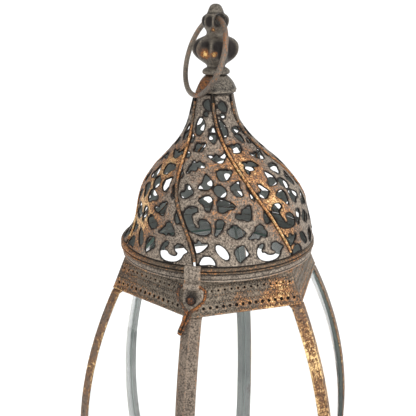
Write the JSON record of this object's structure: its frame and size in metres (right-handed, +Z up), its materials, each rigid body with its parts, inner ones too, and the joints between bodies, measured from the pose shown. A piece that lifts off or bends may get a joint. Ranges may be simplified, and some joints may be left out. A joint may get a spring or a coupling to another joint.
{
  "type": "candle lantern",
  "caption": "Hexagonal glass candle lantern with a pierced, twisted metal dome lid, hinged at the back, a wire bail latch and a hanging ring on a turned finial.",
  "frame": {"origin": "centre of the base, on the surface the lantern stands on", "axes": "+Z up; the latch corner of the hexagon faces -Y and the hinge corner faces +Y; two flat sides face -X and +X"},
  "size_m": [0.1792, 0.207, 0.4728],
  "materials": {
    "patina_sheet": "aged taupe-grey patina over iron sheet, rubbed through to copper along edges",
    "rubbed_copper": "copper colour with dark recesses",
    "cast_patina": "dark brown cast metal with rubbed copper high spots",
    "dark_iron": "dark, slightly glossy iron with rubbed brown edges",
    "clear_glass": "clear, slightly green on its cut edges"
  },
  "bodies": {
    "body": {"upper_band": "patina_sheet", "lower_band": "patina_sheet", "top_collar": "patina_sheet", "base_plate": "patina_sheet", "foot_skirt": "patina_sheet", "candle_plate": "patina_sheet", "latch_plate": "patina_sheet", "hinge_leaf_body": "patina_sheet", "corner_post_1": "patina_sheet", "corner_post_2": "patina_sheet", "corner_post_3": "patina_sheet", "corner_post_4": "patina_sheet", "corner_post_5": "patina_sheet", "corner_post_6": "patina_sheet", "latch_knob": "rubbed_copper", "candle_spike": "dark_iron", "hinge_pin": "dark_iron", "glass_panel_1": "clear_glass", "glass_panel_2": "clear_glass", "glass_panel_3": "clear_glass", "glass_panel_4": "clear_glass", "glass_panel_5": "clear_glass", "glass_panel_6": "clear_glass"},
    "lid": {"dome_gore_1": "patina_sheet", "dome_gore_2": "patina_sheet", "dome_gore_3": "patina_sheet", "dome_gore_4": "patina_sheet", "dome_gore_5": "patina_sheet", "dome_gore_6": "patina_sheet", "dome_rib_1": "rubbed_copper", "dome_rib_2": "rubbed_copper", "dome_rib_3": "rubbed_copper", "dome_rib_4": "rubbed_copper", "dome_rib_5": "rubbed_copper", "dome_rib_6": "rubbed_copper", "lid_rim_ring": "patina_sheet", "finial_cap": "patina_sheet", "finial": "cast_patina", "finial_washer": "dark_iron", "finial_nut": "dark_iron", "latch_tab": "patina_sheet", "hinge_leaf_lid": "patina_sheet"},
    "bail": {"latch_bail": "rubbed_copper"},
    "ring": {"hanging_ring": "dark_iron"}
  },
  "joints": [
    {"name": "lid_hinge", "type": "hinge", "parent": "body", "child": "lid", "pos_m": [0, 0.0708, 0.31155], "axis": [-1, 0, 0], "range_deg": [0, 105]},
    {"name": "latch_pivot", "type": "hinge", "parent": "lid", "child": "bail", "pos_m": [0, -0.0707, 0.305], "axis": [-1, 0, 0], "range_deg": [0, 120]},
    {"name": "ring_swing", "type": "hinge", "parent": "lid", "child": "ring", "pos_m": [0, 0, 0.4628], "axis": [-0.6307, 0.776, 0], "range_deg": [0, 322]}
  ]
}
